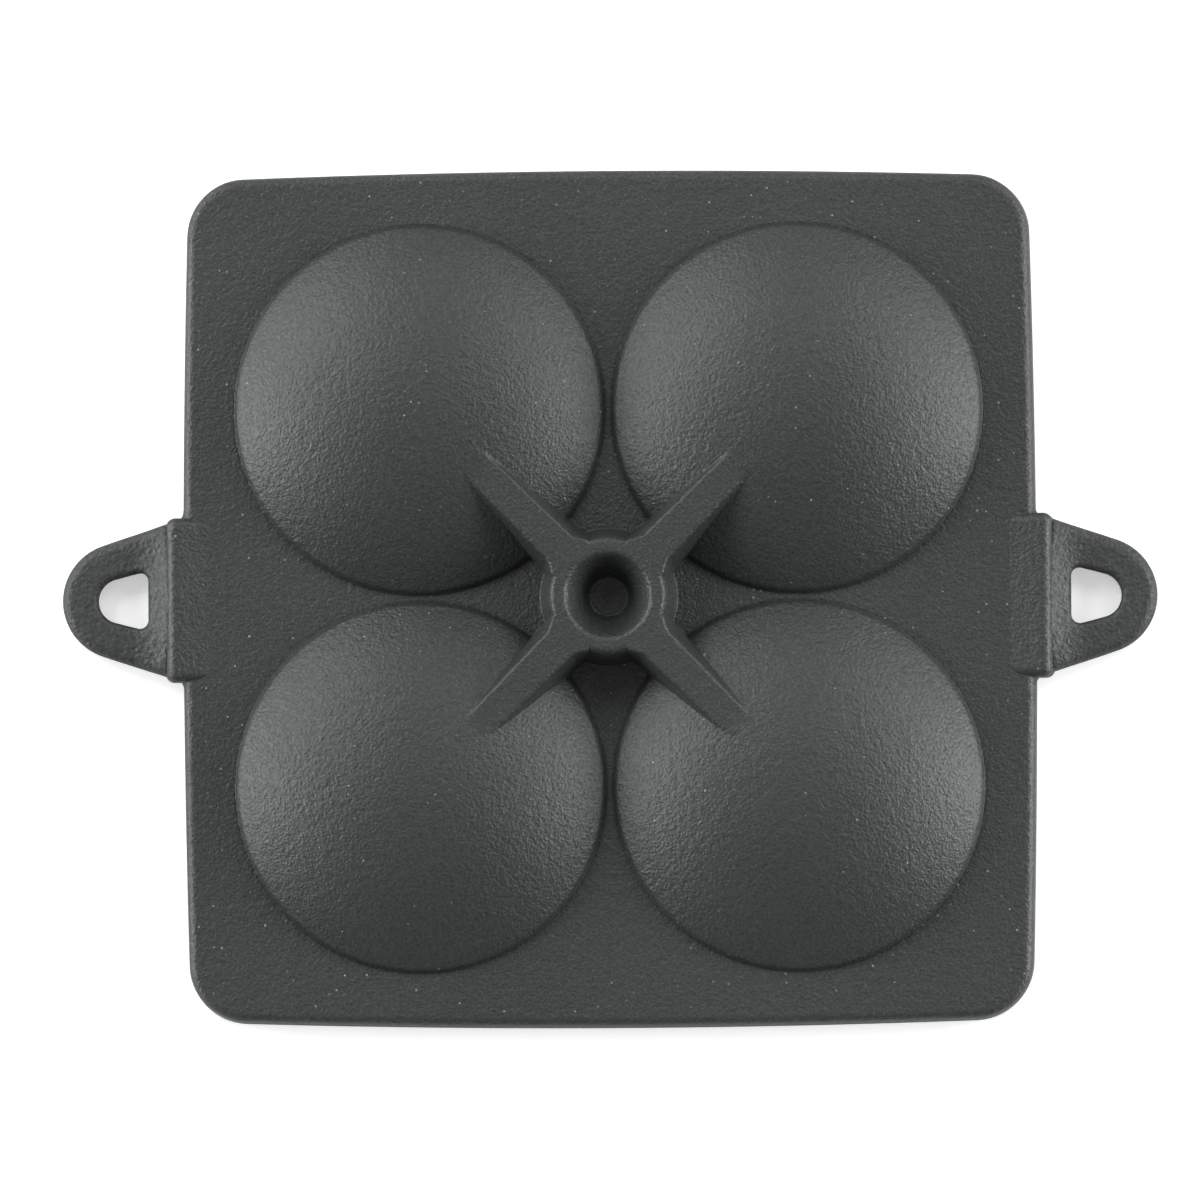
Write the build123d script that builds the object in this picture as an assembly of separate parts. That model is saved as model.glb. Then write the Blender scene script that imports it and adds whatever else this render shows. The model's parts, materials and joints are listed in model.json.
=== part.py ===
from build123d import *
from math import radians, sqrt, tan
import os

os.makedirs("parts", exist_ok=True)

# Iron grill for four rice balls, lying on its cooking face with its back up.
# Millimetres, +Z up, +X across the ears, origin under the middle of the plate on the face it rests on.

# Plate, with sides that swell a little in the middle
plate_width = 191.4
plate_depth = 192.4
width_swell = 1.45
depth_swell = 1.8
corner_radius = 12.5
plate_thickness = 5.0
plate_draft = 5.0
back_edge_round = 1.8

# Raised lip round the cooking face
rim_height = 3.0
rim_width = 4.5

# Wells, four round bowls in a square, each on a low step above the plate's back
well_spacing = 84.3
well_foot_radius = 41.6
well_rise = 14.5
well_step = 1.2
well_step_draft = 10.0
well_shoulder_round = 0.8
well_wall = 4.5
well_mouth_radius = 38.0
well_mouth_draft = 5.0
well_corner_round = 3.0
well_lip_round = 1.5

# Hub in the middle, with a tapered blind socket
hub_top_radius = 13.3
hub_height = 12.0
casting_draft = 9.0
hub_edge_round = 1.3
socket_mouth_radius = 9.0
socket_floor_radius = 4.4
socket_depth = 10.0
socket_lip_round = 1.1

# Ribs from the hub onto the bowls
rib_width_at_hub = 8.4
rib_width_at_tip = 7.0
rib_reach = 44.0
rib_edge_round = 0.9

# Lugs, wedge blocks at the middle of the two sides
lug_proud = 3.9
lug_length = 37.4
lug_rise = 2.2
lug_ramp = 10.3
lug_face_draft = 5.0
lug_corner_round = 2.0
lug_edge_round = 1.2
lug_sink = 3.0

# Ears, flat loops with D-shaped holes
ear_length = 22.9
ear_nose_radius = 13.1
ear_root_length = 34.0
ear_thickness = 5.0
ear_lift = 0.5
ear_edge_round = 2.2
ear_root_height = 8.0
ear_ramp = 4.0
ear_hole_gap = 3.6
ear_nose_wall = 8.0
ear_hole_nose_radius = 5.0
ear_hole_height = 12.5
ear_hole_corner = 1.8

back_face = rim_height + plate_thickness
hub_top = back_face + hub_height
well_offset = well_spacing / 2
lug_face = plate_width / 2 + lug_proud
ear_tip = lug_face + ear_length

sides = {"left": -1, "right": 1}
ends = {"back": 1, "front": -1}


def save(name, solid):
    solid.label = name
    export_step(solid, f"parts/{name}.step")
    return solid


def bowed_outline(inset=0.0):
    """The plate's outline as a face: four shallow arcs with rounded corners."""
    half_x = plate_width / 2 - inset
    half_y = plate_depth / 2 - inset
    corner_x = half_x - width_swell
    corner_y = half_y - depth_swell
    right = ThreePointArc((corner_x, -corner_y), (half_x, 0), (corner_x, corner_y))
    back = ThreePointArc((corner_x, corner_y), (0, half_y), (-corner_x, corner_y))
    left = ThreePointArc((-corner_x, corner_y), (-half_x, 0), (-corner_x, -corner_y))
    front = ThreePointArc((-corner_x, -corner_y), (0, -half_y), (corner_x, -corner_y))
    face = make_face([right, back, left, front])
    return fillet(face.vertices(), radius=corner_radius - inset)


# Sphere that the outside of a bowl follows above its step, and the one inside it
well_crown = back_face + well_rise
shoulder_height = back_face + well_step
shoulder_radius = well_foot_radius - well_step * tan(radians(well_step_draft))
cap_rise = well_rise - well_step
outer_sphere = (shoulder_radius**2 + cap_rise**2) / (2 * cap_rise)
inner_sphere = outer_sphere - well_wall
sphere_centre = well_crown - outer_sphere


def edges_at_height(solid, height):
    return solid.edges().filter_by(lambda edge: abs(edge.center().Z - height) < 0.01)


def dome_block():
    """The outside of a bowl: a low drafted step with a spherical cap on it."""
    middle_radius = shoulder_radius / 2
    middle_height = sphere_centre + sqrt(outer_sphere**2 - middle_radius**2)
    crown = (0, 0, well_crown)
    shoulder = (shoulder_radius, 0, shoulder_height)
    foot = (well_foot_radius, 0, back_face)
    middle = (0, 0, back_face)
    cap = ThreePointArc(crown, (middle_radius, 0, middle_height), shoulder)
    face = make_face([cap, Line(shoulder, foot), Line(foot, middle), Line(middle, crown)])
    solid = revolve(face, axis=Axis.Z, revolution_arc=360)
    return fillet(edges_at_height(solid, shoulder_height), radius=well_shoulder_round)


def cavity_block():
    """The inside of a bowl: a drafted mouth under a dished crown, with a rounded corner between."""
    depth = well_crown - rim_height
    narrowing = depth * tan(radians(well_mouth_draft))
    mouth = Pos(0, 0, rim_height + depth / 2) * Cone(well_mouth_radius, well_mouth_radius - narrowing, depth)
    solid = mouth & (Pos(0, 0, sphere_centre) * Sphere(inner_sphere))
    corner = solid.edges().filter_by(lambda edge: edge.is_closed and edge.center().Z > rim_height + 0.01)
    return fillet(corner, radius=well_corner_round)


# Plate and rim, cut from one drafted block
block = extrude(bowed_outline(), amount=back_face, taper=plate_draft)
block = fillet(edges_at_height(block, back_face), radius=back_edge_round)
plate_block = split(block, Plane.XY.offset(rim_height), keep=Keep.TOP)
rim_block = split(block, Plane.XY.offset(rim_height), keep=Keep.BOTTOM)

cavity = cavity_block()
plate = plate_block
for x_side in sides.values():
    for y_side in ends.values():
        plate = plate - Pos(x_side * well_offset, y_side * well_offset, 0) * cavity
lips = plate.edges().filter_by(GeomType.CIRCLE)
lips = lips.filter_by(lambda edge: abs(edge.radius - well_mouth_radius) < 0.01)
plate = fillet(lips, radius=well_lip_round)
save("plate", plate)

tray = extrude(bowed_outline(rim_width), amount=rim_height, taper=plate_draft)
rim = save("rim", rim_block - tray)

# Wells
solid_dome = dome_block()
bowl = solid_dome - cavity
domes = []
for y_name, y_side in ends.items():
    for x_name, x_side in sides.items():
        place = Pos(x_side * well_offset, y_side * well_offset, 0)
        save(f"well_{y_name}_{x_name}", place * bowl)
        domes.append(place * solid_dome)

# Hub: a drafted round block, then the socket
hub_base_radius = hub_top_radius + hub_height * tan(radians(casting_draft))
hub_block = Pos(0, 0, back_face + hub_height / 2) * Cone(hub_base_radius, hub_top_radius, hub_height)
hub_block = fillet(edges_at_height(hub_block, hub_top), radius=hub_edge_round)
socket = Pos(0, 0, hub_top - socket_depth / 2) * Cone(socket_floor_radius, socket_mouth_radius, socket_depth)
hub = hub_block - socket
mouth_edge = hub.edges().filter_by(GeomType.CIRCLE)
mouth_edge = mouth_edge.filter_by(lambda edge: abs(edge.radius - socket_mouth_radius) < 0.01)
hub = fillet(mouth_edge, radius=socket_lip_round)
save("hub", hub)


def rib_block():
    """One drafted rib along +X, from the hub's axis to inside the bowl."""
    top = Polygon(
        (0, -rib_width_at_hub / 2),
        (rib_reach, -rib_width_at_tip / 2),
        (rib_reach, rib_width_at_tip / 2),
        (0, rib_width_at_hub / 2),
        align=None,
    )
    spread = hub_height * tan(radians(casting_draft))
    base = Polygon(
        (0, -rib_width_at_hub / 2 - spread),
        (rib_reach, -rib_width_at_tip / 2 - spread),
        (rib_reach, rib_width_at_tip / 2 + spread),
        (0, rib_width_at_hub / 2 + spread),
        align=None,
    )
    solid = loft([Pos(0, 0, back_face) * base, Pos(0, 0, hub_top) * top], ruled=True)
    long_edges = edges_at_height(solid, hub_top).filter_by(lambda edge: edge.length > rib_reach - 1)
    return fillet(long_edges, radius=rib_edge_round)


# Ribs, trimmed where they meet the hub and the bowls
rib = rib_block()
for y_name, y_side in ends.items():
    for x_name, x_side in sides.items():
        turn = 45 if x_side * y_side > 0 else 135
        turn = turn if y_side > 0 else turn + 180
        trimmed = Rot(0, 0, turn) * rib - hub_block
        for dome in domes:
            trimmed = trimmed - dome
        kept = trimmed.solids().sort_by(SortBy.VOLUME)[-1]
        save(f"rib_{y_name}_{x_name}", kept)


def lug_solid():
    """The right-hand lug: a wedge with a drafted outer face, trimmed by the plate."""
    top = back_face + lug_rise
    face_top = lug_face - top * tan(radians(lug_face_draft))
    inner_foot = plate_width / 2 - lug_sink
    section = make_face(
        Polyline(
            (inner_foot, 0, 0),
            (lug_face, 0, 0),
            (face_top, 0, top),
            (lug_face - lug_ramp, 0, back_face),
            (inner_foot, 0, back_face - back_edge_round),
            close=True,
        )
    )
    solid = extrude(section, amount=lug_length / 2, both=True)
    outer_corners = solid.edges().filter_by(
        lambda edge: abs(edge.center().Y) > lug_length / 2 - 0.01
        and edge.center().X > plate_width / 2
        and abs(edge.center().Z - top / 2) < 0.5
    )
    solid = fillet(outer_corners, radius=lug_corner_round)
    crest = solid.edges().filter_by(lambda edge: edge.center().Z > top - 0.01)
    solid = fillet(crest, radius=lug_edge_round)
    return solid - block


def ear_solid(lug):
    """The right-hand ear: a flat loop that rises to the lug, with a D-shaped hole."""
    root = lug_face - ear_lift
    nose = Pos(ear_tip - ear_nose_radius, 0) * Circle(ear_nose_radius)
    root_line = Line((root, -ear_root_length / 2), (root, ear_root_length / 2))
    outline = make_hull(nose.edges() + root_line.edges())
    low = ear_lift
    high = ear_lift + ear_thickness
    inside = plate_width / 2
    section = make_face(
        Polyline(
            (inside, 0, low),
            (ear_tip + 1, 0, low),
            (ear_tip + 1, 0, high),
            (lug_face + ear_ramp, 0, high),
            (lug_face, 0, ear_root_height),
            (inside, 0, ear_root_height),
            close=True,
        )
    )
    solid = extrude(outline, amount=back_face) & extrude(section, amount=ear_root_length, both=True)
    nose_edges = edges_at_height(solid, high) + edges_at_height(solid, low)
    nose_edges = nose_edges.filter_by(
        lambda edge: abs(edge.center().Y) > 1 or edge.center().X > ear_tip - ear_nose_radius
    )
    solid = fillet(nose_edges, radius=ear_edge_round)
    hole_nose_x = ear_tip - ear_nose_wall - ear_hole_nose_radius
    hole_nose = Pos(hole_nose_x, 0) * Circle(ear_hole_nose_radius)
    corner_y = ear_hole_height / 2 - ear_hole_corner
    corners = [
        Pos(lug_face + ear_hole_gap + ear_hole_corner, y_side * corner_y) * Circle(ear_hole_corner)
        for y_side in ends.values()
    ]
    hole = make_hull(hole_nose.edges() + corners[0].edges() + corners[1].edges())
    solid = solid - extrude(hole, amount=back_face)
    return solid - lug


# Lugs and ears
right_lug = lug_solid()
right_ear = ear_solid(right_lug)
for x_name, x_side in sides.items():
    turn = 0 if x_side > 0 else 180
    save(f"lug_{x_name}", Rot(0, 0, turn) * right_lug)
    save(f"ear_{x_name}", Rot(0, 0, turn) * right_ear)
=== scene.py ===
import json
import math
import bmesh
import bpy
from mathutils import Matrix, Quaternion, Vector

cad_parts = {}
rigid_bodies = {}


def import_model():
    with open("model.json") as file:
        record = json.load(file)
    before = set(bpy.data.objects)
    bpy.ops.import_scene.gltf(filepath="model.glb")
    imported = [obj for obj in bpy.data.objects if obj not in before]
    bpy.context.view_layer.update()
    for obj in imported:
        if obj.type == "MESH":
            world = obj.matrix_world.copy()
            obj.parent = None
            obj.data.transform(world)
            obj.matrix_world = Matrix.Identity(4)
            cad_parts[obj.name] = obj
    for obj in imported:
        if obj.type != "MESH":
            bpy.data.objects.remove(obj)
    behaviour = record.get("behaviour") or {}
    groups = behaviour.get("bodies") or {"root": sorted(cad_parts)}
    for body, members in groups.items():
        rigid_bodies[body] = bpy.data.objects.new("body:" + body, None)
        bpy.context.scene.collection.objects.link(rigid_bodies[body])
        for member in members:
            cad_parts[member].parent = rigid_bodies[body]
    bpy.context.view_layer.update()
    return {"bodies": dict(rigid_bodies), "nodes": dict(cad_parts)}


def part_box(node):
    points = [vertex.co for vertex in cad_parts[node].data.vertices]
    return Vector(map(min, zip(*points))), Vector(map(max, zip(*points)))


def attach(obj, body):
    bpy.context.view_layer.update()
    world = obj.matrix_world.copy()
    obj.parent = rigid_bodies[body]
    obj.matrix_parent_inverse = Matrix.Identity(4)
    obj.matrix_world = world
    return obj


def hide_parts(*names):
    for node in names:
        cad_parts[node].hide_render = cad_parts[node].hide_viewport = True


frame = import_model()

mm = 0.001
castDraft = math.tan(math.radians(5))
treeWeld = 0.001 * mm
meshWeld = 0.0002 * mm
flatEdge = 0.00001 * mm
body = list(frame["bodies"])[0]

# Heights that the frame gives
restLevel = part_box("rim")[0].z
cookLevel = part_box("plate")[0].z
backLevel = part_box("plate")[1].z
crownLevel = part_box("well_back_left")[1].z
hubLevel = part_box("hub")[1].z
print("frame loaded,", len(frame["nodes"]), "nodes")


# Numbers in a node tree, so that a formula reads as a formula

class Wire:
    def __init__(self, tree, socket):
        self.tree = tree
        self.socket = socket

    def calc(self, operation, *others):
        node = self.tree.nodes.new("ShaderNodeMath")
        node.operation = operation
        for place, value in zip(node.inputs, (self, *others)):
            plug(self.tree, value, place)
        return Wire(self.tree, node.outputs[0])

    def __add__(self, other):
        return self.calc("ADD", other)

    def __sub__(self, other):
        return self.calc("SUBTRACT", other)

    def __mul__(self, other):
        return self.calc("MULTIPLY", other)

    def __truediv__(self, other):
        return self.calc("DIVIDE", other)

    def squared(self):
        return self * self

    def root(self):
        return self.calc("MAXIMUM", 0.0).calc("SQRT")


def plug(tree, value, place):
    if isinstance(value, Wire):
        tree.links.new(value.socket, place)
    elif hasattr(value, "links"):
        tree.links.new(value, place)
    else:
        place.default_value = value


def pick(tree, test, whenTrue, whenFalse):  # one of two numbers, by a yes or no
    node = tree.nodes.new("GeometryNodeSwitch")
    node.input_type = "FLOAT"
    plug(tree, test, node.inputs["Switch"])
    plug(tree, whenFalse, node.inputs["False"])
    plug(tree, whenTrue, node.inputs["True"])
    return Wire(tree, node.outputs[0])


def addNode(tree, kind, **inputs):
    node = tree.nodes.new(kind)
    for name, value in inputs.items():
        plug(tree, value, node.inputs[name.replace("_", " ")])
    return node


def newTree(name, inputNames):  # an empty geometry tree with named lengths, and a material
    tree = bpy.data.node_groups.new(name, "GeometryNodeTree")
    tree.interface.new_socket(name="Geometry", in_out="OUTPUT", socket_type="NodeSocketGeometry")
    for inputName in inputNames:
        tree.interface.new_socket(name=inputName, in_out="INPUT", socket_type="NodeSocketFloat")
    tree.interface.new_socket(name="Finish", in_out="INPUT", socket_type="NodeSocketMaterial")
    start = tree.nodes.new("NodeGroupInput")
    given = {name: Wire(tree, start.outputs[name]) for name in inputNames}
    return tree, given, start.outputs["Finish"]


def gridSheet(tree, across, along):  # a unit grid and its two running shares, 0 to 1
    grid = addNode(tree, "GeometryNodeMeshGrid", Size_X=1.0, Size_Y=1.0, Vertices_X=across, Vertices_Y=along)
    place = tree.nodes.new("GeometryNodeInputPosition")
    parts = addNode(tree, "ShaderNodeSeparateXYZ")
    tree.links.new(place.outputs[0], parts.inputs[0])
    return grid.outputs["Mesh"], Wire(tree, parts.outputs[0]) + 0.5, Wire(tree, parts.outputs[1]) + 0.5


def setPlace(tree, mesh, x, y, z):
    spot = addNode(tree, "ShaderNodeCombineXYZ", X=x, Y=y, Z=z)
    move = tree.nodes.new("GeometryNodeSetPosition")
    tree.links.new(mesh, move.inputs["Geometry"])
    tree.links.new(spot.outputs[0], move.inputs["Position"])
    return move.outputs[0]


def endTree(tree, mesh, finish):
    merge = addNode(tree, "GeometryNodeMergeByDistance", Distance=treeWeld)
    tree.links.new(mesh, merge.inputs["Geometry"])
    smooth = tree.nodes.new("GeometryNodeSetShadeSmooth")
    tree.links.new(merge.outputs[0], smooth.inputs["Geometry"])
    real = tree.nodes.new("GeometryNodeRealizeInstances")
    tree.links.new(smooth.outputs[0], real.inputs["Geometry"])
    paint = tree.nodes.new("GeometryNodeSetMaterial")
    tree.links.new(real.outputs[0], paint.inputs["Geometry"])
    tree.links.new(finish, paint.inputs["Material"])
    end = tree.nodes.new("NodeGroupOutput")
    tree.links.new(paint.outputs[0], end.inputs["Geometry"])


def finishMesh(mesh, sharpAngle=38):  # outward faces, closed poles, smooth but for real corners
    work = bmesh.new()
    work.from_mesh(mesh)
    bmesh.ops.remove_doubles(work, verts=work.verts, dist=meshWeld)
    bmesh.ops.dissolve_degenerate(work, edges=work.edges, dist=flatEdge)
    bmesh.ops.recalc_face_normals(work, faces=work.faces)
    for face in work.faces:
        face.smooth = True
    work.to_mesh(mesh)
    work.free()
    mesh.set_sharp_from_angle(angle=math.radians(sharpAngle))


def settle(piece, node):  # the piece stands for a node and rides on the one body
    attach(piece, body)
    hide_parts(node)
    return piece


def growPiece(name, tree, sizes, finish, node):  # runs a tree once and keeps the mesh
    carrier = bpy.data.objects.new(name + "Seed", bpy.data.meshes.new(name + "Seed"))
    bpy.context.scene.collection.objects.link(carrier)
    modifier = carrier.modifiers.new("grow", "NODES")
    modifier.node_group = tree
    for item in tree.interface.items_tree:
        if item.in_out == "INPUT":
            modifier[item.identifier] = finish if item.name == "Finish" else sizes[item.name]
    bpy.context.view_layer.update()
    shaped = carrier.evaluated_get(bpy.context.evaluated_depsgraph_get())
    mesh = bpy.data.meshes.new_from_object(shaped)
    mesh.name = name
    carrier.modifiers.remove(modifier)
    bpy.data.objects.remove(carrier)
    finishMesh(mesh)
    piece = bpy.data.objects.new(name, mesh)
    bpy.context.scene.collection.objects.link(piece)
    return settle(piece, node)


def meshPiece(name, work, finish, node, sharpAngle=38):
    mesh = bpy.data.meshes.new(name)
    work.to_mesh(mesh)
    work.free()
    mesh.materials.append(finish)
    finishMesh(mesh, sharpAngle)
    piece = bpy.data.objects.new(name, mesh)
    bpy.context.scene.collection.objects.link(piece)
    return settle(piece, node)


# Finishes

def groupSocket(group, name, direction, kind="NodeSocketFloat"):
    return group.interface.new_socket(name=name, in_out=direction, socket_type=kind)


skinInputs = {  # the skin group's inputs, and the finish values that set them
    "Grain scale": "grainScale",
    "Pit amount": "pitAmount",
    "Grain contrast": "grainContrast",
    "Cloud contrast": "cloudContrast",
    "Speck scale": "speckScale",
    "Speck amount": "speckAmount",
}
skinPattern = {
    "coarseScale": 0.34,
    "coarseWeight": 0.9,
    "pitScale": 0.42,
    "pitSlope": 1.9,
    "cloudScale": 28.0,
    "patchScale": 9.0,
    "toneLevel": 0.6,
    "speckRadius": 0.15,
}


def castSkinGroup():  # sand-cast grain, slow cloudiness, dust specks and pits
    group = bpy.data.node_groups.new("castSkin", "ShaderNodeTree")
    for name in skinInputs:
        groupSocket(group, name, "INPUT")
    for name in ("Height", "Tone", "Speck"):
        groupSocket(group, name, "OUTPUT")
    start = group.nodes.new("NodeGroupInput")
    end = group.nodes.new("NodeGroupOutput")
    given = {name: Wire(group, start.outputs[name]) for name in skinInputs}
    spot = group.nodes.new("ShaderNodeTexCoord").outputs["Object"]

    def noiseAt(scale, detail, roughness):
        noise = addNode(group, "ShaderNodeTexNoise", Vector=spot, Scale=scale)
        noise.inputs["Detail"].default_value = detail
        noise.inputs["Roughness"].default_value = roughness
        return Wire(group, noise.outputs["Fac"])

    fine = noiseAt(given["Grain scale"], 2.0, 0.5)
    coarse = noiseAt(given["Grain scale"] * skinPattern["coarseScale"], 2.0, 0.5)
    pitScale = given["Grain scale"] * skinPattern["pitScale"]
    cells = addNode(group, "ShaderNodeTexVoronoi", Vector=spot, Scale=pitScale)
    pits = (Wire(group, cells.outputs["Distance"]) * skinPattern["pitSlope"]).calc("MINIMUM", 1.0)
    height = fine + coarse * skinPattern["coarseWeight"] + pits * given["Pit amount"]
    cloud = noiseAt(skinPattern["cloudScale"], 3.0, 0.6)
    patch = noiseAt(skinPattern["patchScale"], 2.0, 0.5)
    clouds = (cloud + patch - 1.0) * given["Cloud contrast"]
    tone = clouds + (fine - 0.5) * given["Grain contrast"] + skinPattern["toneLevel"]
    dust = addNode(group, "ShaderNodeTexVoronoi", Vector=spot, Scale=given["Speck scale"])
    lucky = addNode(group, "ShaderNodeSeparateXYZ")
    group.links.new(dust.outputs["Color"], lucky.inputs[0])
    reach = Wire(group, lucky.outputs[2]) * skinPattern["speckRadius"]
    near = Wire(group, dust.outputs["Distance"]).calc("LESS_THAN", reach)
    rare = Wire(group, lucky.outputs[0]).calc("LESS_THAN", given["Speck amount"])
    speck = near * rare * Wire(group, lucky.outputs[1])
    plug(group, height, end.inputs["Height"])
    plug(group, tone, end.inputs["Tone"])
    plug(group, speck, end.inputs["Speck"])
    return group


ironFinish = {
    "color": (0.036, 0.038, 0.039, 1),
    "shade": (0.006, 0.007, 0.007, 1),
    "dust": (0.26, 0.26, 0.24, 1),
    "roughness": 0.45,
    "roughnessSwing": 0.10,
    "specular": 0.58,
    "grainScale": 1650.0,
    "pitAmount": 0.25,
    "grainContrast": 2.0,
    "cloudContrast": 0.5,
    "speckScale": 620.0,
    "speckAmount": 0.25,
    "bumpHeight": 0.21 * mm,
}
roughFinish = {
    **ironFinish,
    "roughness": 0.5,
    "grainScale": 1400.0,
    "pitAmount": 0.5,
    "bumpHeight": 0.24 * mm,
    "speckAmount": 0.10,
}


def ironMaterial(name, finish, skin):
    material = bpy.data.materials.new(name)
    material.use_nodes = True
    tree = material.node_tree
    shader = tree.nodes["Principled BSDF"]
    shader.inputs["Specular IOR Level"].default_value = finish["specular"]
    cast = tree.nodes.new("ShaderNodeGroup")
    cast.node_tree = skin
    for inputName, key in skinInputs.items():
        cast.inputs[inputName].default_value = finish[key]
    ramp = tree.nodes.new("ShaderNodeMix")
    ramp.data_type = "RGBA"
    ramp.inputs["A"].default_value = finish["shade"]
    ramp.inputs["B"].default_value = finish["color"]
    tree.links.new(cast.outputs["Tone"], ramp.inputs["Factor"])
    dusty = tree.nodes.new("ShaderNodeMix")
    dusty.data_type = "RGBA"
    dusty.inputs["B"].default_value = finish["dust"]
    tree.links.new(cast.outputs["Speck"], dusty.inputs["Factor"])
    tree.links.new(ramp.outputs["Result"], dusty.inputs["A"])
    tree.links.new(dusty.outputs["Result"], shader.inputs["Base Color"])
    tone = Wire(tree, cast.outputs["Tone"])
    swing = finish["roughnessSwing"]
    plug(tree, tone * -swing + (finish["roughness"] + swing), shader.inputs["Roughness"])
    bump = tree.nodes.new("ShaderNodeBump")
    bump.inputs["Strength"].default_value = 1.0
    bump.inputs["Distance"].default_value = finish["bumpHeight"]
    tree.links.new(cast.outputs["Height"], bump.inputs["Height"])
    tree.links.new(bump.outputs["Normal"], shader.inputs["Normal"])
    return material


castSkin = castSkinGroup()
ironSkin = ironMaterial("castIron", ironFinish, castSkin)
roughSkin = ironMaterial("roughCastIron", roughFinish, castSkin)
print("finishes made")


# Bowls: a low drafted step with a spherical cap on it, and a dished hollow with a drafted mouth

bowl = {
    "foot": 41.6 * mm,
    "step": 1.2 * mm,
    "stepSlope": 4.4,
    "shoulderBlend": 5.0 * mm,
    "footBlend": 0.5 * mm,
    "skirt": 0.1 * mm,
    "wall": 4.5 * mm,
    "mouth": 38.0 * mm,
    "mouthSlope": 11.43,
    "cornerBlend": 9.0 * mm,
    "ringsAround": 240,
    "ringsDown": 210,
    "outsideShare": 0.64,
    "insideStart": 0.66,
}
capRise = crownLevel - backLevel - bowl["step"]
shoulderRadius = bowl["foot"] - bowl["step"] / bowl["stepSlope"]
outerSphere = (shoulderRadius**2 + capRise**2) / (2 * capRise)
innerSphere = outerSphere - bowl["wall"]
sphereLevel = crownLevel - outerSphere
wellNodes = ["well_back_left", "well_back_right", "well_front_left", "well_front_right"]
wellCentres = {name: (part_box(name)[0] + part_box(name)[1]) / 2 for name in wellNodes}
wellReach = wellCentres["well_back_right"].xy.length  # from the hub's axis to a bowl's


def smoothMin(first, second, blend):  # as the Math node reckons it
    share = max(blend - abs(first - second), 0.0) / blend
    return min(first, second) - share**3 * blend / 6


def hollowHeight(radius):  # the hollow's ceiling at a distance from its axis
    dish = math.sqrt(max(innerSphere**2 - radius**2, 0.0)) + sphereLevel
    mouth = (bowl["mouth"] - radius) * bowl["mouthSlope"] + cookLevel
    return smoothMin(dish, mouth, bowl["cornerBlend"])


def hollowRadius(level):
    low, high = 0.0, bowl["mouth"]
    for step in range(40):
        middle = (low + high) / 2
        low, high = (middle, high) if hollowHeight(middle) > level else (low, middle)
    return low


def bowlSkin(distance, given):  # height of a bowl's outside over the plate, at a distance from its axis
    cap = (given["Sphere"].squared() - distance.squared()).root() + given["Sphere level"]
    side = (given["Foot"] - distance) * given["Step slope"] + given["Back"]
    skin = cap.calc("SMOOTH_MIN", side, given["Shoulder blend"])
    return skin.calc("SMOOTH_MAX", given["Back"], given["Foot blend"])


def bowlTree():
    names = ["Centre X", "Centre Y", "Sphere", "Inner sphere", "Sphere level", "Back", "Cook", "Foot",
             "Skirt", "Step slope", "Shoulder blend", "Foot blend", "Mouth", "Mouth slope", "Corner blend",
             "Throat"]
    tree, given, finish = newTree("bowlTree", names)
    mesh, down, around = gridSheet(tree, bowl["ringsDown"], bowl["ringsAround"])
    fromFoot = ((down / bowl["outsideShare"]) * -1.0 + 1.0).calc("MAXIMUM", 0.0)
    outside = (given["Foot"] + given["Skirt"]) * (fromFoot.squared() * -1.0 + 1.0)
    insideStart = bowl["insideStart"]
    inward = ((down - insideStart) / (1 - insideStart)).calc("MAXIMUM", 0.0)
    inside = given["Throat"] * (inward * -1.0 + 1.0)
    isInside = down.calc("GREATER_THAN", insideStart - 0.005)
    radius = pick(tree, isInside.socket, inside, outside)
    dish = (given["Inner sphere"].squared() - radius.squared()).root() + given["Sphere level"]
    mouth = (given["Mouth"] - radius) * given["Mouth slope"] + given["Cook"]
    under = dish.calc("SMOOTH_MIN", mouth, given["Corner blend"])
    isBase = down.calc("GREATER_THAN", bowl["outsideShare"] + 0.0001)
    below = pick(tree, isInside.socket, under, given["Back"])
    level = pick(tree, isBase.socket, below, bowlSkin(radius, given))
    angle = around * (2 * math.pi)
    x = angle.calc("COSINE") * radius + given["Centre X"]
    y = angle.calc("SINE") * radius + given["Centre Y"]
    endTree(tree, setPlace(tree, mesh, x, y, level), finish)
    return tree


capSizes = {
    "Sphere": outerSphere,
    "Sphere level": sphereLevel,
    "Back": backLevel,
    "Foot": bowl["foot"],
    "Step slope": bowl["stepSlope"],
    "Shoulder blend": bowl["shoulderBlend"],
    "Foot blend": bowl["footBlend"],
}
bowlSizes = {
    **capSizes,
    "Inner sphere": innerSphere,
    "Cook": cookLevel,
    "Skirt": bowl["skirt"],
    "Mouth": bowl["mouth"],
    "Mouth slope": bowl["mouthSlope"],
    "Corner blend": bowl["cornerBlend"],
    "Throat": hollowRadius(backLevel),
}
bowlNodes = bowlTree()
for nodeName in wellNodes:
    centre = wellCentres[nodeName]
    sizes = {**bowlSizes, "Centre X": centre.x, "Centre Y": centre.y}
    growPiece("bowl_" + nodeName[5:], bowlNodes, sizes, ironSkin, nodeName)
print("bowls grown")


# Hub: a drafted boss with a rounded top and a tapered blind socket

hub = {
    "topRadius": 13.3 * mm,
    "draftSlope": 6.31,
    "topBlend": 11.0 * mm,
    "footBlend": 2.4 * mm,
    "mouth": 9.3 * mm,
    "floor": 4.4 * mm,
    "depth": 10.0 * mm,
    "mouthBlend": 2.6 * mm,
    "floorBlend": 0.8 * mm,
    "ringsDown": 190,
    "ringsAround": 192,
    "topShare": 0.9,
}


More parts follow.
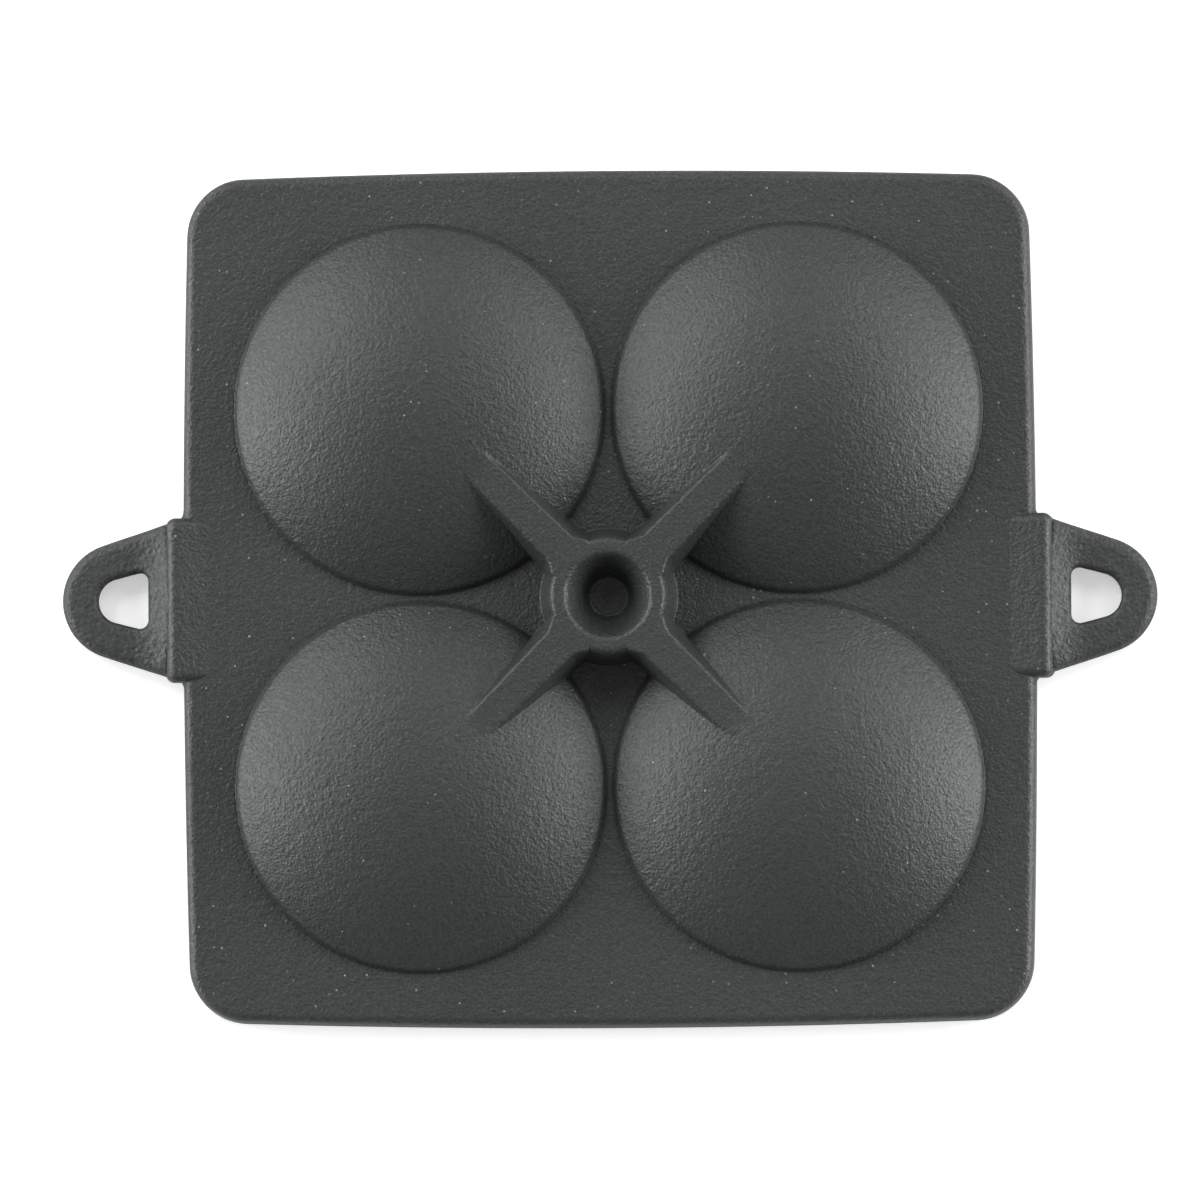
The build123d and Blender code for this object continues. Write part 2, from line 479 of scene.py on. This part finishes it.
def hubTree():
    names = ["Back", "Top", "Top radius", "Slope", "Top blend", "Foot blend", "Reach", "Mouth", "Floor",
             "Depth", "Mouth blend", "Floor blend"]
    tree, given, finish = newTree("hubTree", names)
    mesh, down, around = gridSheet(tree, hub["ringsDown"], hub["ringsAround"])
    topShare = hub["topShare"]
    outward = (down / topShare).calc("MINIMUM", 1.0)
    homeward = ((down - topShare) / (1 - topShare)).calc("MAXIMUM", 0.0)
    radius = given["Reach"] * outward * (homeward * -1.0 + 1.0)
    wall = (given["Top radius"] - radius) * given["Slope"] + given["Top"]
    block = wall.calc("SMOOTH_MIN", given["Top"], given["Top blend"])
    taper = given["Depth"] / (given["Mouth"] - given["Floor"])
    cone = (radius - given["Floor"]) * taper + given["Top"] - given["Depth"]
    well = cone.calc("SMOOTH_MAX", given["Top"] - given["Depth"], given["Floor blend"])
    level = block.calc("SMOOTH_MIN", well, given["Mouth blend"])
    level = level.calc("SMOOTH_MAX", given["Back"], given["Foot blend"])
    isBase = down.calc("GREATER_THAN", topShare + 0.0001)
    level = pick(tree, isBase.socket, given["Back"], level)
    angle = around * (2 * math.pi)
    x = angle.calc("COSINE") * radius
    y = angle.calc("SINE") * radius
    endTree(tree, setPlace(tree, mesh, x, y, level), finish)
    return tree


hubSizes = {
    "Back": backLevel, "Top": hubLevel, "Top radius": hub["topRadius"], "Slope": hub["draftSlope"],
    "Top blend": hub["topBlend"], "Foot blend": hub["footBlend"],
    "Reach": hub["topRadius"] + (hubLevel - backLevel + hub["footBlend"] * 0.97) / hub["draftSlope"],
    "Mouth": hub["mouth"], "Floor": hub["floor"], "Depth": hub["depth"],
    "Mouth blend": hub["mouthBlend"], "Floor blend": hub["floorBlend"],
}
growPiece("hubBoss", hubTree(), hubSizes, ironSkin, "hub")
print("hub grown")


# Ribs: a drafted rib that lies on the plate, climbs the bowl and dies into it

rib = {
    "widthAtHub": 8.6 * mm,
    "widthAtTip": 7.2 * mm,
    "start": 11.6 * mm,
    "end": 50.0 * mm,
    "halfSpan": 8.6 * mm,
    "draftSlope": 6.31,
    "edgeBlend": 8.0 * mm,
    "footBlend": 1.2 * mm,
    "sink": 0.7 * mm,
    "flare": 1.6 * mm,
    "flareLength": 3.0 * mm,
    "stepsAlong": 120,
    "stepsAcross": 150,
    "borderShare": 0.4999,
}


def ribTree():
    names = ["Turn", "Bowl reach", *capSizes, "Top", "Hub radius", "Half at hub", "Half at tip", "Start",
             "End", "Half span", "Slope", "Edge blend", "Rib blend", "Sink", "Flare", "Flare length"]
    tree, given, finish = newTree("ribTree", names)
    sheets = []
    for isTop in (True, False):
        mesh, along, across = gridSheet(tree, rib["stepsAlong"], rib["stepsAcross"])
        side = (across - 0.5) * 2.0 * given["Half span"]
        begin = (given["Start"].squared() - side.squared()).root()
        ahead = begin + (given["End"] - begin) * along
        offAxis = ((given["Bowl reach"] - ahead).squared() + side.squared()).root()
        ground = bowlSkin(offAxis, given)
        hidden = ground - given["Sink"]
        level = hidden
        if isTop:
            fromHub = (ahead.squared() + side.squared()).root()
            share = (ahead - given["Start"]) / (given["End"] - given["Start"])
            half = given["Half at hub"] + (given["Half at tip"] - given["Half at hub"]) * share
            near = ((given["Hub radius"] - fromHub) / given["Flare length"] + 1.0).calc("MAXIMUM", 0.0)
            half = half + near.calc("MINIMUM", 1.0).squared() * given["Flare"]
            flank = (half - side.calc("ABSOLUTE")) * given["Slope"] + given["Top"]
            ridge = flank.calc("SMOOTH_MIN", given["Top"], given["Edge blend"])
            skin = ridge.calc("SMOOTH_MAX", ground, given["Rib blend"])
            spare = (ground - ridge - given["Rib blend"]).calc("MAXIMUM", 0.0)
            skin = skin - spare.calc("MINIMUM", given["Sink"] * 0.5)
            inner = (across - 0.5).calc("ABSOLUTE").calc("LESS_THAN", rib["borderShare"])
            notEnd = (along - 0.5).calc("ABSOLUTE").calc("LESS_THAN", rib["borderShare"])
            level = pick(tree, (inner * notEnd).socket, skin, hidden)
        turn = given["Turn"]
        x = ahead * turn.calc("COSINE") - side * turn.calc("SINE")
        y = ahead * turn.calc("SINE") + side * turn.calc("COSINE")
        sheets.append(setPlace(tree, mesh, x, y, level))
    flip = tree.nodes.new("GeometryNodeFlipFaces")
    tree.links.new(sheets[1], flip.inputs["Mesh"])
    join = tree.nodes.new("GeometryNodeJoinGeometry")
    tree.links.new(sheets[0], join.inputs[0])
    tree.links.new(flip.outputs[0], join.inputs[0])
    endTree(tree, join.outputs[0], finish)
    return tree


ribSizes = {
    **capSizes, "Bowl reach": wellReach, "Top": hubLevel + 0.01 * mm, "Hub radius": hub["topRadius"],
    "Half at hub": rib["widthAtHub"] / 2, "Half at tip": rib["widthAtTip"] / 2, "Start": rib["start"],
    "End": rib["end"], "Half span": rib["halfSpan"], "Slope": rib["draftSlope"],
    "Edge blend": rib["edgeBlend"], "Rib blend": rib["footBlend"], "Sink": rib["sink"],
    "Flare": rib["flare"], "Flare length": rib["flareLength"],
}
ribNodes = ribTree()
for nodeName in wellNodes:
    centre = wellCentres[nodeName]
    sizes = {**ribSizes, "Turn": math.atan2(centre.y, centre.x)}
    corner = nodeName[5:]
    growPiece("rib_on_" + corner, ribNodes, sizes, ironSkin, "rib_" + corner)
print("ribs grown")


# Plate and rim: rings of one bowed outline with rounded corners

plate = {
    "halfX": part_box("rim")[1].x,
    "halfY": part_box("rim")[1].y,
    "swellX": 1.45 * mm,
    "swellY": 1.8 * mm,
    "corner": 12.5 * mm,
    "draft": castDraft,
    "wallStep": 1.2 * mm,
    "edgeRound": 2.0 * mm,
    "flatSteps": (0.5 * mm, 1.4 * mm),
    "lipRound": 1.5 * mm,
    "lipFlare": 1.15,
    "lipMargin": 0.3 * mm,
    "rimWidth": 4.5 * mm,
    "rimRound": 0.9 * mm,
    "rimFoot": ((0.12 * mm, 0.7 * mm), (0.4 * mm, 0.2 * mm), (1.0 * mm, 0.0)),
}


def outlinePoints(inset, cornerSteps=14, sideSteps=44):
    cornerX = plate["halfX"] - plate["swellX"]
    cornerY = plate["halfY"] - plate["swellY"]
    radius = plate["corner"] - inset
    midX = cornerX - plate["corner"]
    midY = cornerY - plate["corner"]
    points = []
    for quarter, (signX, signY) in enumerate(((1, 1), (-1, 1), (-1, -1), (1, -1))):
        for step in range(cornerSteps + 1):
            angle = math.pi / 2 * (quarter + step / cornerSteps)
            points.append((signX * midX + radius * math.cos(angle), signY * midY + radius * math.sin(angle)))
        nextX, nextY = ((-1, 1), (-1, -1), (1, -1), (1, 1))[quarter]
        angle = math.pi / 2 * (quarter + 1)
        last = points[-1]
        target = (nextX * midX + radius * math.cos(angle), nextY * midY + radius * math.sin(angle))
        for step in range(1, sideSteps):
            share = step / sideSteps
            points.append((last[0] + (target[0] - last[0]) * share, last[1] + (target[1] - last[1]) * share))
    bowed = []
    for x, y in points:
        growX = plate["swellX"] / cornerX * (1 - (y / cornerY) ** 2)
        growY = plate["swellY"] / cornerY * (1 - (x / cornerX) ** 2)
        bowed.append((x * (1 + growX), y * (1 + growY)))
    return bowed


def circlePoints(centre, radius, steps=144):
    turns = [2 * math.pi * step / steps for step in range(steps)]
    return [(centre.x + radius * math.cos(turn), centre.y + radius * math.sin(turn)) for turn in turns]


def addRing(work, points, level):
    return [work.verts.new((x, y, level)) for x, y in points]


def bridge(work, first, second):
    count = len(first)
    for place in range(count):
        following = (place + 1) % count
        work.faces.new((first[place], first[following], second[following], second[place]))


def fillFlat(work, outer, holes):  # a flat face with holes, in triangles
    edges = []
    for ring in [outer, *holes]:
        for place, vertex in enumerate(ring):
            following = ring[(place + 1) % len(ring)]
            edge = work.edges.get((vertex, following))
            edges.append(edge or work.edges.new((vertex, following)))
    bmesh.ops.triangle_fill(work, use_beauty=True, use_dissolve=False, edges=edges)


def plateWork():
    work = bmesh.new()
    edge = plate["edgeRound"]
    draft = plate["draft"]
    wallTop = backLevel - edge
    wallStart = cookLevel + plate["wallStep"]
    rings = [addRing(work, outlinePoints(draft * level), level) for level in (cookLevel, wallStart)]
    steps = 9
    for step in range(steps + 1):
        angle = math.pi / 2 * step / steps
        inset = draft * wallTop + edge * (1 - math.cos(angle))
        rings.append(addRing(work, outlinePoints(inset), wallTop + edge * math.sin(angle)))
    flat = draft * wallTop + edge
    for extra in plate["flatSteps"]:
        rings.append(addRing(work, outlinePoints(flat + extra), backLevel))
    for first, second in zip(rings, rings[1:]):
        bridge(work, first, second)
    backHoles = []
    faceHoles = []
    lip = plate["lipRound"]
    flare = lip * plate["lipFlare"]
    for name in wellNodes:
        centre = wellCentres[name]
        drop = backLevel - cookLevel - lip
        levels = [backLevel - drop * step / 10 for step in range(11)]
        holeRings = [addRing(work, circlePoints(centre, hollowRadius(z)), z) for z in levels]
        start = hollowRadius(cookLevel + lip)
        for step in range(1, 7):
            angle = math.pi / 2 * step / 6
            radius = start + flare * (1 - math.cos(angle))
            level = cookLevel + lip * (1 - math.sin(angle))
            holeRings.append(addRing(work, circlePoints(centre, radius), level))
        mouthEdge = circlePoints(centre, start + flare + plate["lipMargin"])
        holeRings.append(addRing(work, mouthEdge, cookLevel))
        for first, second in zip(holeRings, holeRings[1:]):
            bridge(work, first, second)
        backHoles.append(holeRings[0])
        faceHoles.append(holeRings[-1])
    fillFlat(work, rings[-1], backHoles)
    fillFlat(work, rings[0], faceHoles)
    return work


def rimWork():
    work = bmesh.new()
    draft = plate["draft"]
    turn = plate["rimRound"]
    width = plate["rimWidth"]
    section = [(draft * cookLevel, cookLevel), (draft * turn, restLevel + turn)]
    steps = 6
    for step in range(1, steps + 1):
        angle = math.pi / 2 * step / steps
        inset = draft * turn + turn * (1 - math.cos(angle))
        section.append((inset, restLevel + turn * (1 - math.sin(angle))))
    for step in range(steps + 1):
        angle = math.pi / 2 * step / steps
        inset = width - turn + turn * math.sin(angle)
        section.append((inset, restLevel + turn * (1 - math.cos(angle))))
    section += [(width + outward, cookLevel - drop) for outward, drop in plate["rimFoot"]]
    rings = [addRing(work, outlinePoints(inset), level) for inset, level in section]
    for first, second in zip(rings, rings[1:] + rings[:1]):
        bridge(work, first, second)
    return work


meshPiece("plateSquare", plateWork(), ironSkin, "plate")
meshPiece("rimLip", rimWork(), ironSkin, "rim")
print("plate and rim made")


# Lugs: a wedge with a rounded crest, and fillets where its foot meets the plate's side

lug = {
    "face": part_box("lug_right")[1].x,
    "halfLength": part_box("lug_right")[1].y,
    "crest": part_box("lug_right")[1].z,
    "crestSpare": 0.25 * mm,
    "faceDraft": castDraft,
    "ramp": 10.3 * mm,
    "rampSink": 0.05 * mm,
    "underReach": 0.9 * mm,
    "innerDrop": 1.5 * mm,
    "endMargin": 0.4 * mm,
    "crestRound": 2.2 * mm,
    "endRound": 1.9 * mm,
    "sideFillet": 2.7 * mm,
    "filletTop": 1.3 * mm,
    "filletInset": 0.3 * mm,
    "filletBack": 2.0 * mm,
    "filletLap": 1.0 * mm,
    "filletLift": 0.05 * mm,
    "sharpAngle": 50,
}


def lugSection():  # from the ramp's foot over the crest and down the outer face
    face = lug["face"]
    top = lug["crest"] + lug["crestSpare"]
    rampFoot = Vector((face - lug["ramp"], backLevel - lug["rampSink"]))
    crest = Vector((face - top * lug["faceDraft"], top))
    faceFoot = Vector((face, restLevel))
    inward = (rampFoot - crest).normalized()
    downward = (faceFoot - crest).normalized()
    opening = inward.angle(downward)
    cut = lug["crestRound"] / math.tan(opening / 2)
    centre = crest + (inward + downward).normalized() * (lug["crestRound"] / math.sin(opening / 2))
    first = crest + inward * cut
    last = crest + downward * cut
    fromAngle = math.atan2(first.y - centre.y, first.x - centre.x)
    toAngle = math.atan2(last.y - centre.y, last.x - centre.x)
    points = [rampFoot + (first - rampFoot) * share / 12 for share in range(12)]
    for step in range(11):
        angle = fromAngle + (toAngle - fromAngle) * step / 10
        points.append(centre + Vector((math.cos(angle), math.sin(angle))) * lug["crestRound"])
    points += [last + (faceFoot - last) * share / 12 for share in range(1, 13)]
    return points


def addSideFillet(work, side, end, start):  # the hollow round between the lug's end and the plate's side
    edge = plate["halfX"] - lug["filletInset"]
    back = edge - lug["filletBack"]
    lap = start - lug["filletLap"]
    curve = lug["sideFillet"]
    top = backLevel - lug["filletTop"]
    profile = (  # levels, and how much wider the round is there
        (restLevel + lug["filletLift"], 0.0),
        (top - 1.2 * mm, 0.05),
        (top - 0.4 * mm, 0.2),
        (top, 0.5),
    )
    steps = 12
    rings = []
    for level, grow in profile:
        reach = curve * (1 + grow)
        plan = [(back, lap), (edge + curve, lap)]
        for step in range(steps + 1):
            angle = math.pi / 2 * step / steps
            x = edge + curve - reach * math.sin(angle)
            plan.append((x, start + curve - reach * math.cos(angle)))
        plan.append((back, start + curve))
        rings.append([work.verts.new((side * x, end * y, level)) for x, y in plan])
    for first, second in zip(rings, rings[1:]):
        bridge(work, first, second)
    work.faces.new(rings[0])
    work.faces.new(list(reversed(rings[-1])))


def lugWork(side):
    work = bmesh.new()
    section = lugSection()
    inner = lug["face"] - lug["ramp"]
    count = len(section)
    normals = []
    for place in range(count):
        before = section[max(place - 1, 0)]
        after = section[min(place + 1, count - 1)]
        along = after - before
        normals.append(Vector((-along.y, along.x)).normalized())
    half = lug["halfLength"] - lug["endMargin"]
    turn = lug["endRound"]
    stations = []
    for step in range(7):
        angle = math.pi / 2 * (1 - step / 6)
        stations.append((-(half - turn + turn * math.sin(angle)), turn * (1 - math.cos(angle))))
    stations += [(-(half - turn) + 2 * (half - turn) * step / 40, 0.0) for step in range(1, 40)]
    stations += [(-y, drop) for y, drop in reversed(stations[:7])]
    plateEdge = plate["halfX"]
    columns = []
    for y, drop in stations:
        column = []
        for point, normal in zip(section, normals):
            spot = point + normal * (drop if normal.y < 0 else -drop)
            column.append(work.verts.new((side * spot.x, side * y, max(spot.y, restLevel))))
        foot = column[-1].co
        column.append(work.verts.new((side * (plateEdge - lug["underReach"]), foot.y, restLevel)))
        column.append(work.verts.new((side * inner, foot.y, backLevel - lug["innerDrop"])))
        columns.append(column)
    for first, second in zip(columns, columns[1:]):
        size = len(first)
        for place in range(size):
            following = (place + 1) % size
            work.faces.new((first[place], first[following], second[following], second[place]))
    work.faces.new(columns[0])
    work.faces.new(list(reversed(columns[-1])))
    for end in (-1, 1):
        addSideFillet(work, side, end, half - 0.5 * turn)
    return work


for sideName, side in (("left", -1), ("right", 1)):
    meshPiece("lugWedge_" + sideName, lugWork(side), ironSkin, "lug_" + sideName, lug["sharpAngle"])
print("lugs made")


# Ears: a loop whose section is rounded all round, rising to the lug

ear = {
    "tip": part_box("ear_right")[1].x,
    "low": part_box("ear_right")[0].z,
    "noseRadius": 13.1 * mm,
    "rootHalf": 17.4 * mm,
    "root": lug["face"] - 1.2 * mm,
    "thickness": 5.0 * mm,
    "rampTop": 8.0 * mm,
    "rampEnd": lug["face"] + 8.0 * mm,
    "holeSide": lug["face"] + 3.6 * mm,
    "holeNoseRadius": 5.0 * mm,
    "holeNose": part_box("ear_right")[1].x - 8.0 * mm,
    "holeHalf": 6.25 * mm,
    "holeCorner": 1.9 * mm,
    "outerRound": 2.4 * mm,
    "innerRound": 1.3 * mm,
    "holeMiddle": 5.2 * mm,
    "endRise": 0.55,
    "riseLimit": 1.15,
    "sharpAngle": 60,
}


def hullRadius(circles, centre, angle):  # how far a ray goes before it leaves the hull of some circles
    direction = Vector((math.cos(angle), math.sin(angle)))
    best = None
    for step in range(-90, 91):
        turn = angle + math.radians(step)
        normal = Vector((math.cos(turn), math.sin(turn)))
        reach = max((spot - centre).dot(normal) + radius for spot, radius in circles)
        facing = direction.dot(normal)
        if facing > 1e-3:
            distance = reach / facing
            best = distance if best is None else min(best, distance)
    return best


def earSection(width):  # one loop round the section: share of the width from the hole, and height drop
    outerTurn = ear["outerRound"]
    innerTurn = ear["innerRound"]
    points = []
    for step in range(9):
        angle = math.pi / 2 * step / 8
        inward = outerTurn * (1 - math.cos(angle))
        points.append((1 - inward / width, outerTurn * (1 - math.sin(angle)), True))
    for step in range(1, 8):
        share = 1 - outerTurn / width - (1 - (outerTurn + innerTurn) / width) * step / 8
        points.append((share, 0.0, True))
    for step in range(7):
        angle = math.pi / 2 * step / 6
        points.append((innerTurn * (1 - math.sin(angle)) / width, innerTurn * (1 - math.cos(angle)), True))
    for step in range(7):
        angle = math.pi / 2 * (1 - step / 6)
        points.append((innerTurn * (1 - math.sin(angle)) / width, innerTurn * (1 - math.cos(angle)), False))
    for step in range(1, 4):
        share = innerTurn / width + (1 - (outerTurn + innerTurn) / width) * step / 4
        points.append((share, 0.0, False))
    for step in range(8):
        angle = math.pi / 2 * (1 - step / 8)
        inward = outerTurn * (1 - math.cos(angle))
        points.append((1 - inward / width, outerTurn * (1 - math.sin(angle)), False))
    return points


def earWork(side):
    work = bmesh.new()
    centre = Vector((ear["holeSide"] + ear["holeMiddle"], 0))
    outer = [(Vector((ear["tip"] - ear["noseRadius"], 0)), ear["noseRadius"]),
             (Vector((ear["root"], ear["rootHalf"])), 0.0),
             (Vector((ear["root"], -ear["rootHalf"])), 0.0)]
    cornerX = ear["holeSide"] + ear["holeCorner"]
    cornerY = ear["holeHalf"] - ear["holeCorner"]
    inner = [(Vector((ear["holeNose"] - ear["holeNoseRadius"], 0)), ear["holeNoseRadius"]),
             (Vector((cornerX, cornerY)), ear["holeCorner"]),
             (Vector((cornerX, -cornerY)), ear["holeCorner"])]
    steps = 180
    flatTop = ear["low"] + ear["thickness"]
    rampRun = ear["rampEnd"] - lug["face"]
    rings = []
    for step in range(steps):
        angle = 2 * math.pi * step / steps
        direction = Vector((math.cos(angle), math.sin(angle)))
        outside = hullRadius(outer, centre, angle)
        inside = hullRadius(inner, centre, angle)
        ring = []
        for across, drop, isTop in earSection(outside - inside):
            spot = centre + direction * (inside + (outside - inside) * across)
            share = min(max((ear["rampEnd"] - spot.x) / rampRun, 0.0), ear["riseLimit"])
            middle = max(1 - (spot.y / ear["rootHalf"]) ** 2, 0.0)
            rise = share * share * (ear["endRise"] + (1 - ear["endRise"]) * middle)
            top = flatTop + (ear["rampTop"] - flatTop) * rise
            level = top - drop if isTop else ear["low"] + drop
            ring.append(work.verts.new((side * spot.x, side * spot.y, level)))
        rings.append(ring)
    for place, ring in enumerate(rings):
        bridge(work, ring, rings[(place + 1) % steps])
    return work


for sideName, side in (("left", -1), ("right", 1)):
    loop = earWork(side)
    meshPiece("earLoop_" + sideName, loop, roughSkin, "ear_" + sideName, ear["sharpAngle"])
print("ears made")


# Floor, lights and camera

stage = {
    "floorSize": 4.0,
    "floorColor": (0.93, 0.93, 0.93, 1),
    "floorGlow": 0.42,
    "worldColor": (0.99, 0.98, 1.0, 1),
    "worldStrength": 0.30,
    "lampDistance": 1.6,
    "lampWidth": 0.8,
    "lampHeight": 0.6,
    "lampColor": (0.965, 1.0, 0.97),
    "lamps": {  # azimuth from +Y towards +X and elevation in degrees, and power
        "right": (90, 18, 25.0),
        "left": (270, 18, 22.0),
        "leftBack": (315, 18, 3.0),
        "leftBackHigh": (315, 36, 12.5),
        "rightBackHigh": (45, 36, 10.0),
    },
}


def cameraRays(tree, kinds=("Is Camera Ray",)):
    path = tree.nodes.new("ShaderNodeLightPath")
    total = Wire(tree, path.outputs[kinds[0]])
    for kind in kinds[1:]:
        total = total.calc("MAXIMUM", Wire(tree, path.outputs[kind]))
    return total


def makeFloor():
    work = bmesh.new()
    bmesh.ops.create_grid(work, x_segments=2, y_segments=2, size=stage["floorSize"] / 2)
    mesh = bpy.data.meshes.new("floor")
    work.to_mesh(mesh)
    work.free()
    mesh.transform(Matrix.Translation((0, 0, restLevel)))
    floor = bpy.data.objects.new("floor", mesh)
    bpy.context.scene.collection.objects.link(floor)
    material = bpy.data.materials.new("paleFloor")
    material.use_nodes = True
    tree = material.node_tree
    tree.nodes.clear()
    end = tree.nodes.new("ShaderNodeOutputMaterial")
    diffuse = addNode(tree, "ShaderNodeBsdfDiffuse", Color=stage["floorColor"])
    glow = addNode(tree, "ShaderNodeEmission", Strength=cameraRays(tree) * stage["floorGlow"])
    add = tree.nodes.new("ShaderNodeAddShader")
    tree.links.new(diffuse.outputs[0], add.inputs[0])
    tree.links.new(glow.outputs[0], add.inputs[1])
    tree.links.new(add.outputs[0], end.inputs["Surface"])
    mesh.materials.append(material)


def makeWorld():
    world = bpy.data.worlds.new("studio")
    bpy.context.scene.world = world
    world.use_nodes = True
    tree = world.node_tree
    background = tree.nodes["Background"]
    background.inputs["Color"].default_value = stage["worldColor"]
    seen = cameraRays(tree, ("Is Camera Ray", "Is Transmission Ray"))
    plug(tree, seen * (1 - stage["worldStrength"]) + stage["worldStrength"], background.inputs["Strength"])


def softbox(name, azimuth, elevation, power):  # a large lamp that faces the grill
    light = bpy.data.lights.new(name, "AREA")
    light.shape = "RECTANGLE"
    light.size = stage["lampWidth"]
    light.size_y = stage["lampHeight"]
    light.energy = power
    light.color = stage["lampColor"]
    lamp = bpy.data.objects.new(name, light)
    turn = math.radians(azimuth)
    rise = math.radians(elevation)
    level = math.cos(rise)
    place = Vector((math.sin(turn) * level, math.cos(turn) * level, math.sin(rise))) * stage["lampDistance"]
    lamp.location = place
    lamp.rotation_euler = (-place).to_track_quat("-Z", "Y").to_euler()
    bpy.context.scene.collection.objects.link(lamp)


cameraView = {
    "sensorWidth": 36.0,
    "farthest": 20.0,
    "distance": 2.1,
    "frameWidth": 267.9 * mm,
    "aim": (-2.0 * mm, -0.6 * mm),
    "southTilt": 2.5,
    "eastTilt": 1.4,
    "roll": -0.3,
}


def makeCamera():
    data = bpy.data.cameras.new("view")
    data.sensor_width = cameraView["sensorWidth"]
    data.lens = cameraView["sensorWidth"] * cameraView["distance"] / cameraView["frameWidth"]
    data.clip_end = cameraView["farthest"]
    camera = bpy.data.objects.new("view", data)
    target = Vector((*cameraView["aim"], backLevel))
    south = math.tan(math.radians(cameraView["southTilt"]))
    east = math.tan(math.radians(cameraView["eastTilt"]))
    back = Vector((east, -south, 1)).normalized()
    camera.location = target + back * cameraView["distance"]
    right = Vector((0, 1, 0)).cross(back).normalized()
    turn = Matrix((right, back.cross(right), back)).transposed().to_quaternion()
    roll = Quaternion((0, 0, 1), math.radians(cameraView["roll"]))
    camera.rotation_mode = "QUATERNION"
    camera.rotation_quaternion = turn @ roll
    bpy.context.scene.collection.objects.link(camera)
    bpy.context.scene.camera = camera


makeFloor()
makeWorld()
for lampName, (azimuth, elevation, power) in stage["lamps"].items():
    softbox("softbox_" + lampName, azimuth, elevation, power)
makeCamera()
bpy.context.scene.view_settings.view_transform = "Standard"
print("stage set")
